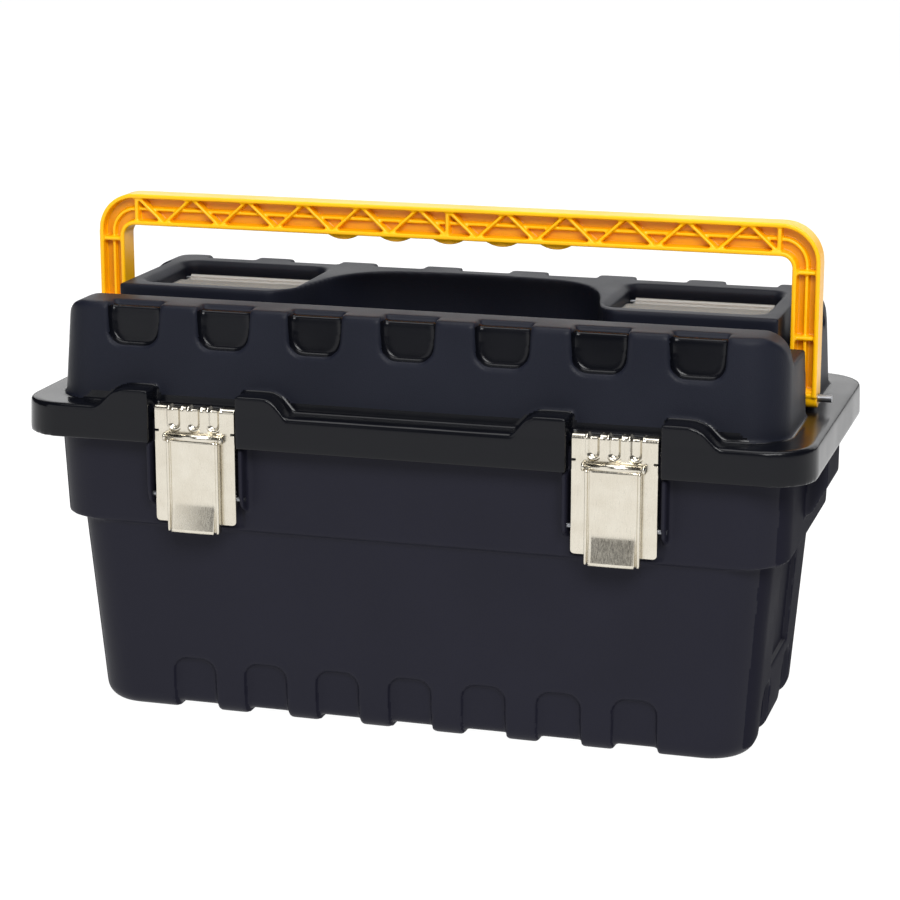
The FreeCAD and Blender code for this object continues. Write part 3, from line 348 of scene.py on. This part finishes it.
def pressing(name, x, across, along, place, cut_out):
    """A sheet-metal part: a grid of points from place(x, u, h), less its cut-outs, thickened backwards."""
    bm = bmesh.new()
    rows = [[bm.verts.new(place(x, u, h)) for u in across] for h in along]
    for j in range(len(along) - 1):
        for i in range(len(across) - 1):
            mid_u = (across[i] + across[i + 1]) / 2
            mid_h = (along[j] + along[j + 1]) / 2
            if not cut_out(mid_u, mid_h):
                bm.faces.new((rows[j][i], rows[j][i + 1], rows[j + 1][i + 1], rows[j + 1][i]))
    loose = [v for v in bm.verts if not v.link_faces]
    bmesh.ops.delete(bm, geom=loose, context="VERTS")
    mesh = bpy.data.meshes.new(name)
    bm.to_mesh(mesh)
    bm.free()
    piece = bpy.data.objects.new(name, mesh)
    bpy.context.scene.collection.objects.link(piece)
    thick = piece.modifiers.new("thick", "SOLIDIFY")
    thick.thickness = SHEET
    thick.offset = -1.0
    return apply_modifiers(piece)


def hasp_point(x, u, h):
    """Point of the hasp's front face: u across it, h up it and over the bend of the hook."""
    depth = 0.0
    for i in (-1, 0, 1):
        away = math.hypot(u - i * BEAD_PITCH, max(0.0, BEAD_FOOT - h))
        depth += BEAD_DEEP * (1.0 - ease(BEAD_HALF * BEAD_FLOOR, BEAD_HALF, away))
        depth -= BEAD_RIM * math.exp(-((away - BEAD_HALF * BEAD_RIM_AT) / BEAD_RIM_W) ** 2)
    rise = h - HASP_LOW
    narrow = 0.0
    if rise < HASP_CORNER:
        narrow = HASP_CORNER - math.sqrt(max(0.0, HASP_CORNER ** 2 - (HASP_CORNER - rise) ** 2))
    u *= 1.0 - narrow / HASP_HALF
    turn = min(max((h - BEND_FROM) / BEND_R, 0.0), math.pi / 2)
    flat = max(0.0, h - BEND_FROM - BEND_R * math.pi / 2)
    out = BEND_R - depth
    y = HASP_FACE + BEND_R - out * math.cos(turn) + flat
    z = min(h, BEND_FROM) + out * math.sin(turn)
    return (x + u, y, z)


def in_notch(u, h):
    """True in the two slits at the hasp's edges, just below the beads."""
    return abs(u) > NOTCH_FROM and NOTCH_Z[0] < h < NOTCH_Z[1]


def tongue_profile():
    """Stations across the tongue, each with how far it stands out: a flat face between rolled edges."""
    left = [(-u * MM, out * MM) for u, out in TONGUE_WALL + TONGUE_ROLL + TONGUE_GROOVE]
    face = [(u, 0.0) for u in steps(-FACE_FLAT, FACE_FLAT, FACE_STEP)]
    return left + face + [(-u, out) for u, out in reversed(left)]


profile = tongue_profile()


def tongue_point(x, i, h):
    """Point of the tongue's front face: station i of its section, at height h."""
    u, out = profile[int(i)]
    inside = 1.0 - ease(*FACE_FADE, abs(u))
    bow = FACE_BOW * (1.0 - (u / FACE_HALF) ** 2)
    flare = max(0.0, CREASE_Z - h) * FLARE
    return (x + u, TONGUE_FACE - out - inside * (bow + flare), h)


def never(u, h):
    """The tongue has no cut-outs."""
    return False


def rod(bm, x0, x1, y, z, r):
    """A round bar along X."""
    turn = Matrix.Translation(((x0 + x1) / 2, y, z)) @ Matrix.Rotation(math.pi / 2, 4, "Y")
    bmesh.ops.create_cone(bm, cap_ends=True, segments=32, radius1=r, radius2=r, depth=x1 - x0,
                          matrix=turn)


def plate(bm, low, high):
    """A flat plate between two corners."""
    size = [b - a for a, b in zip(low, high)]
    mid = [(a + b) / 2 for a, b in zip(low, high)]
    bmesh.ops.create_cube(bm, size=1.0, matrix=Matrix.Translation(mid) @ Matrix.Diagonal((*size, 1.0)))


def hasp_folds(bm, x):
    """The hasp's folded side walls, and the two ears that hold the tongue's barrel."""
    for way in (-1, 1):
        wall = sorted((x + way * HASP_HALF, x + way * (HASP_HALF - SHEET)))
        plate(bm, (wall[0], HASP_FACE + WALL_SUNK, WALL_Z[0]), (wall[1], WALL_BACK, WALL_Z[1]))
        ear = sorted(x + way * edge for edge in EAR_X)
        rod(bm, *ear, *BARREL_AT, EAR_R)
        plate(bm, (ear[0], BARREL_AT[0], EAR_Z[0]), (ear[1], HASP_FACE + EAR_SUNK, EAR_Z[1]))


def barrel(bm, x):
    """The rolled barrel at the tongue's top."""
    rod(bm, x - BARREL_HALF, x + BARREL_HALF, *BARREL_AT, BARREL_R)


def grow_mesh(piece, build, x):
    """Adds what build(bm, x) makes to a piece's mesh, with its sheared edges rounded."""
    bm = bmesh.new()
    build(bm, x)
    sharp = [e for e in bm.edges if e.is_manifold and e.calc_face_angle() > SHARP]
    bmesh.ops.bevel(bm, geom=sharp, offset=EDGE_ROUND, segments=2, affect="EDGES")
    bm.from_mesh(piece.data)
    bm.to_mesh(piece.data)
    bm.free()
    piece.data.shade_smooth()
    return piece


nickel = plated("nickel_plate", NICKEL_HEX, NICKEL_DARK_HEX, rough=0.22, spots=9 * MM)
hook_end = BEND_FROM + BEND_R * math.pi / 2 + HOOK_FLAT
hasp_rows = steps(HASP_LOW, HASP_LOW + HASP_CORNER, CORNER_STEP)[:-1]
hasp_rows += steps(HASP_LOW + HASP_CORNER, BEADS_FROM, COARSE_STEP)[:-1]
hasp_rows += steps(BEADS_FROM, hook_end, FINE_STEP)
hasp_columns = steps(-HASP_HALF, HASP_HALF, FINE_STEP)
tongue_rows = steps(TONGUE_TIP, TONGUE_TOP, TONGUE_STEP)
tongue_columns = list(range(len(profile)))
for side, x in (("left", -LATCH_X), ("right", LATCH_X)):
    hasp = pressing(f"hasp_plate_{side}", x, hasp_columns, hasp_rows, hasp_point, in_notch)
    grow_mesh(hasp, hasp_folds, x)
    tongue = pressing(f"tongue_channel_{side}", x, tongue_columns, tongue_rows, tongue_point, never)
    grow_mesh(tongue, barrel, x)
    for piece, node, body in ((hasp, "latch_hasp", "hasp"), (tongue, "latch_tongue", "tongue")):
        piece.data.materials.append(nickel)
        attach(piece, f"{body}_{side}")
        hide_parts(f"{node}_{side}")

# ---- pins, axles and pegs ----
# Plain drawn steel wire, cut to length and pushed through its knuckles or ears. The nodes keep their
# own meshes. The wire is greyer and duller than the plated latches.
STEEL_HEX = "9A9CA0"
STEEL_DARK_HEX = "7C7E82"


def dress(node, mat):
    """Gives a CAD node its one material."""
    node.data.materials.clear()
    node.data.materials.append(mat)


wire = plated("drawn_steel_wire", STEEL_HEX, STEEL_DARK_HEX, rough=0.35, spots=4 * MM)
for name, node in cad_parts.items():
    if any(word in name for word in ("pin", "axle", "peg")):
        dress(node, wire)

# ---- lid organisers ----
# Each is a dark polystyrene insert of six compartments, set into a well of the lid, under a moulded
# polycarbonate cover that lifts on a steel pin.
COVER_HEX = "DCD8D1"
HAZE = 14 * MM
INSERT_HEX = "2A2C31"
INSERT_LIGHT_HEX = "34373D"
GRAIN_INSERT = 0.6 * MM


def clear_cover():
    """Moulded polycarbonate, IOR 1.585: half clear and half a pale body, with faint haze in its gloss."""
    mat, tree, shader = surface("polycarbonate_clear")
    shader.inputs["IOR"].default_value = 1.585
    shader.inputs["Transmission Weight"].default_value = 0.55
    shader.inputs["Base Color"].default_value = linear(COVER_HEX)
    place = add(tree, "ShaderNodeNewGeometry").outputs["Position"]
    haze = add(tree, "ShaderNodeTexNoise", {"Scale": 1 / HAZE, "Detail": 3.0}, {"Vector": place})
    spread = add(tree, "ShaderNodeMapRange", {1: 0.3, 2: 0.7, 3: 0.02, 4: 0.08},
                 {0: haze.outputs["Fac"]})
    tree.links.new(spread.outputs[0], shader.inputs["Roughness"])
    return mat


clear = clear_cover()
# The insert is a lighter grey than the lid, with more gloss, so its walls stand out in the well.
insert_mat = moulded_black("polystyrene_insert", INSERT_HEX, INSERT_LIGHT_HEX, GRAIN_INSERT,
                           rough=0.4, relief=0.3, sheen=1.4)
for side in ("left", "right"):
    dress(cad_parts[f"organiser_cover_{side}"], clear)
    dress(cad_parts[f"organiser_bin_{side}"], insert_mat)

# ---- the lift-out tray ----
# An open polypropylene moulding that rests on the case's step, with two cross dividers that slide out
# and a swinging yellow handle on two pins.
TRAY_HEX = "3A3D43"
TRAY_LIGHT_HEX = "44484F"
GRAIN_TRAY = 0.6 * MM
# A mid grey with a soft sheen, clearly lighter than the case around it.
tray_mat = moulded_black("polypropylene_tray", TRAY_HEX, TRAY_LIGHT_HEX, GRAIN_TRAY,
                         rough=0.42, relief=0.5, sheen=1.35)
for name in ("tray", "tray_divider_left", "tray_divider_right"):
    dress(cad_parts[name], tray_mat)
dress(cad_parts["tray_handle"], yellow)

# ---- floor, light and camera ----
# A white sweep and large soft lamps, as in a product studio.
FLOOR_HALF = 6.0
EYE = Vector((0.386, -1.315, 0.473))
LOOK = Vector((-0.2733, 0.9311, -0.2414))
LENS_MM = 107.6
SENSOR_MM = 36.0
SWEEP_HEX = "6E6E6E"
ROOM_LIGHT = 0.035
WHITE = (1.0, 1.0, 1.0, 1.0)


def sweep():
    """Matt white acrylic lit from behind: an even white with no edge and hardly any shadow."""
    mesh = bpy.data.meshes.new("sweep")
    bm = bmesh.new()
    bmesh.ops.create_grid(bm, x_segments=2, y_segments=2, size=FLOOR_HALF)
    bm.to_mesh(mesh)
    bm.free()
    floor = bpy.data.objects.new("sweep", mesh)
    bpy.context.scene.collection.objects.link(floor)
    mat, tree, shader = surface("lit_acrylic_white")
    shader.inputs["Base Color"].default_value = linear(SWEEP_HEX)
    shader.inputs["Roughness"].default_value = 0.9
    shader.inputs["Specular IOR Level"].default_value = 0.0
    shader.inputs["Emission Color"].default_value = WHITE
    shader.inputs["Emission Strength"].default_value = 1.0
    floor.data.materials.append(mat)
    return floor


def soft_lamp(name, place, size, watts, aim=(0, 0, 0.12)):
    """A rectangular lamp aimed at the middle of the box."""
    data = bpy.data.lights.new(name, "AREA")
    data.shape = "RECTANGLE"
    data.size, data.size_y = size
    data.energy = watts
    lamp = bpy.data.objects.new(name, data)
    lamp.location = place
    lamp.rotation_mode = "QUATERNION"
    lamp.rotation_quaternion = (Vector(aim) - Vector(place)).to_track_quat("-Z", "Y")
    bpy.context.scene.collection.objects.link(lamp)
    return lamp


sweep()
soft_lamp("key_box", (0.7, -1.7, 1.6), (1.4, 0.9), 50)
soft_lamp("top_box", (0.0, 0.0, 1.7), (1.6, 1.2), 20)
soft_lamp("left_card", (-1.5, -1.75, 0.75), (1.6, 1.4), 8)
soft_lamp("back_card", (0.0, 2.6, 1.25), (5.0, 1.7), 38)
world = bpy.data.worlds.new("studio")
world.use_nodes = True
world.node_tree.nodes["Background"].inputs[0].default_value = WHITE
world.node_tree.nodes["Background"].inputs[1].default_value = ROOM_LIGHT
bpy.context.scene.world = world
bpy.context.scene.view_settings.view_transform = "Standard"

camera_data = bpy.data.cameras.new("camera")
camera_data.lens = LENS_MM
camera_data.sensor_width = SENSOR_MM
camera = bpy.data.objects.new("camera", camera_data)
camera.location = EYE
camera.rotation_mode = "QUATERNION"
camera.rotation_quaternion = LOOK.to_track_quat("-Z", "Y")
bpy.context.scene.collection.objects.link(camera)
bpy.context.scene.camera = camera
